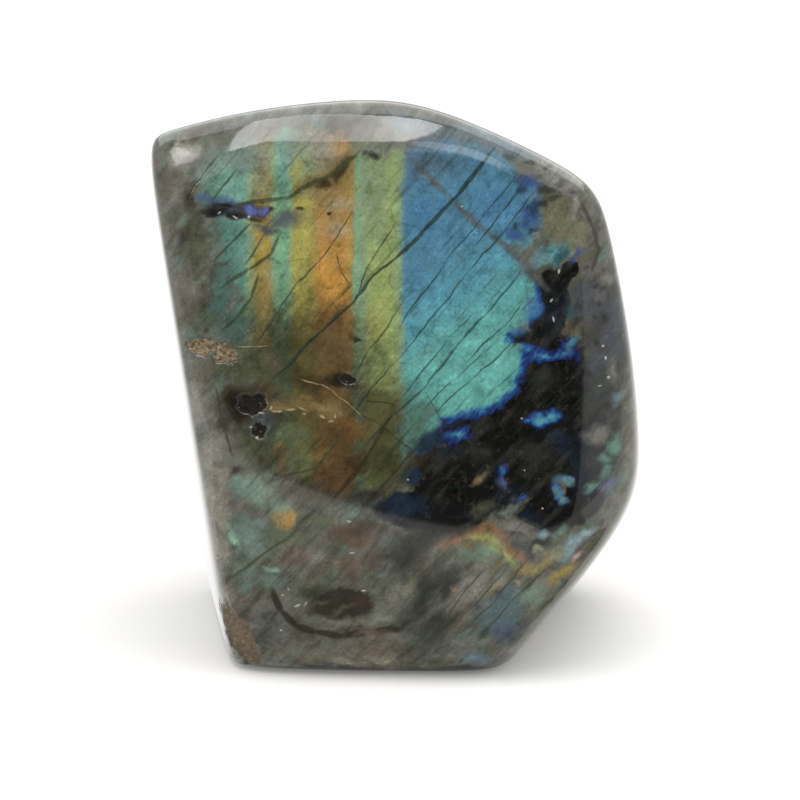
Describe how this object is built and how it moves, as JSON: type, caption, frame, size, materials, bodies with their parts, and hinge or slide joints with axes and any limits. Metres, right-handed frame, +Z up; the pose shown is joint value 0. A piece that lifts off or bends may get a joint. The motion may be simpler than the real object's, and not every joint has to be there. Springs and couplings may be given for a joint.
{
  "type": "labradorite freeform",
  "caption": "Polished free-standing labradorite stone with a broad show face, rolled shoulders and a flat sawn foot.",
  "frame": {"origin": "middle of the stone's bounding box in X and Y, on the plane of its sawn foot", "axes": "+Z up from the foot, the broad show face looks towards -Y, +X runs to the right as that face is seen"},
  "size_m": [0.084, 0.0724, 0.0964],
  "materials": {
    "labradorite": "mirror-polished feldspar, grey-green body with blue, teal and bronze flash"
  },
  "bodies": {
    "root": {"labradorite_stone": "labradorite"}
  },
  "joints": []
}
